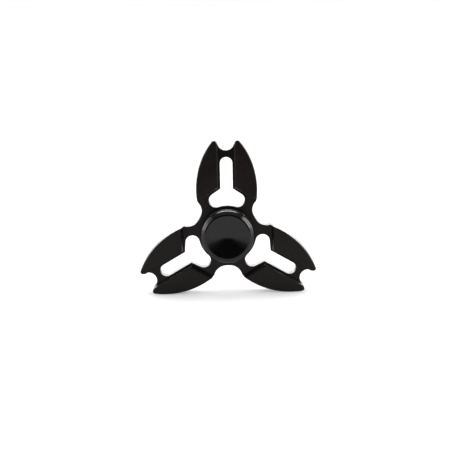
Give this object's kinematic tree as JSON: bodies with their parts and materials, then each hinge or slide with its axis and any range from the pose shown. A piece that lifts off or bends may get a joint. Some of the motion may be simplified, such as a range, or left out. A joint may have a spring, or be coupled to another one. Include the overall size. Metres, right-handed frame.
{
  "type": "fidget spinner",
  "caption": "Hand-held spinner: a flat frame of claw-shaped arms turning on a shielded ball bearing between dished finger caps.",
  "frame": {"origin": "centre of the ball bearing, on the spin axis", "axes": "+Y along the spin axis, away from the face with the raised claws, which looks along -Y; +Z along the upper arm; +X to the right seen from the front"},
  "size_m": [0.0752, 0.0182, 0.0658],
  "materials": {
    "frame_black": "satin black, bead blasted",
    "cap_black": "gloss black, fine turning marks",
    "ring_steel": "ground",
    "ball_steel": "polished",
    "cage_steel": "pressed strip",
    "shield_steel": "pressed sheet",
    "screw_steel": "dark oxide"
  },
  "bodies": {
    "frame": {"claw_frame": "frame_black", "bearing_outer_ring": "ring_steel", "front_shield": "shield_steel", "rear_shield": "shield_steel", "front_snap_ring": "shield_steel", "rear_snap_ring": "shield_steel"},
    "caps": {"front_cap": "cap_black", "rear_cap": "cap_black", "cap_joining_screw": "screw_steel", "bearing_inner_ring": "ring_steel"},
    "cage": {"cage_front_half": "cage_steel", "cage_rear_half": "cage_steel", "cage_rivets": "cage_steel"},
    "ball_1": {"ball_1": "ball_steel"},
    "ball_2": {"ball_2": "ball_steel"},
    "ball_3": {"ball_3": "ball_steel"},
    "ball_4": {"ball_4": "ball_steel"},
    "ball_5": {"ball_5": "ball_steel"},
    "ball_6": {"ball_6": "ball_steel"},
    "ball_7": {"ball_7": "ball_steel"}
  },
  "joints": [
    {"name": "cap_spin", "type": "hinge", "parent": "frame", "child": "caps", "pos_m": [0, 0, 0], "axis": [0, 1, 0], "continuous": true},
    {"name": "cage_orbit", "type": "hinge", "parent": "frame", "child": "cage", "pos_m": [0, 0, 0], "axis": [0, 1, 0], "continuous": true},
    {"name": "ball_1_roll", "type": "hinge", "parent": "cage", "child": "ball_1", "pos_m": [0, 0, 0.0075], "axis": [0, 1, 0], "continuous": true},
    {"name": "ball_2_roll", "type": "hinge", "parent": "cage", "child": "ball_2", "pos_m": [0.00586, 0, 0.00468], "axis": [0, 1, 0], "continuous": true},
    {"name": "ball_3_roll", "type": "hinge", "parent": "cage", "child": "ball_3", "pos_m": [0.00731, 0, -0.00167], "axis": [0, 1, 0], "continuous": true},
    {"name": "ball_4_roll", "type": "hinge", "parent": "cage", "child": "ball_4", "pos_m": [0.00325, 0, -0.00676], "axis": [0, 1, 0], "continuous": true},
    {"name": "ball_5_roll", "type": "hinge", "parent": "cage", "child": "ball_5", "pos_m": [-0.00325, 0, -0.00676], "axis": [0, 1, 0], "continuous": true},
    {"name": "ball_6_roll", "type": "hinge", "parent": "cage", "child": "ball_6", "pos_m": [-0.00731, 0, -0.00167], "axis": [0, 1, 0], "continuous": true},
    {"name": "ball_7_roll", "type": "hinge", "parent": "cage", "child": "ball_7", "pos_m": [-0.00586, 0, 0.00468], "axis": [0, 1, 0], "continuous": true}
  ],
  "couplings": [
    {"joint": "cage_orbit", "follows": "cap_spin", "ratio": 0.3677},
    {"joint": "ball_1_roll", "follows": "cap_spin", "ratio": -1.7573},
    {"joint": "ball_2_roll", "follows": "cap_spin", "ratio": -1.7573},
    {"joint": "ball_3_roll", "follows": "cap_spin", "ratio": -1.7573},
    {"joint": "ball_4_roll", "follows": "cap_spin", "ratio": -1.7573},
    {"joint": "ball_5_roll", "follows": "cap_spin", "ratio": -1.7573},
    {"joint": "ball_6_roll", "follows": "cap_spin", "ratio": -1.7573},
    {"joint": "ball_7_roll", "follows": "cap_spin", "ratio": -1.7573}
  ]
}
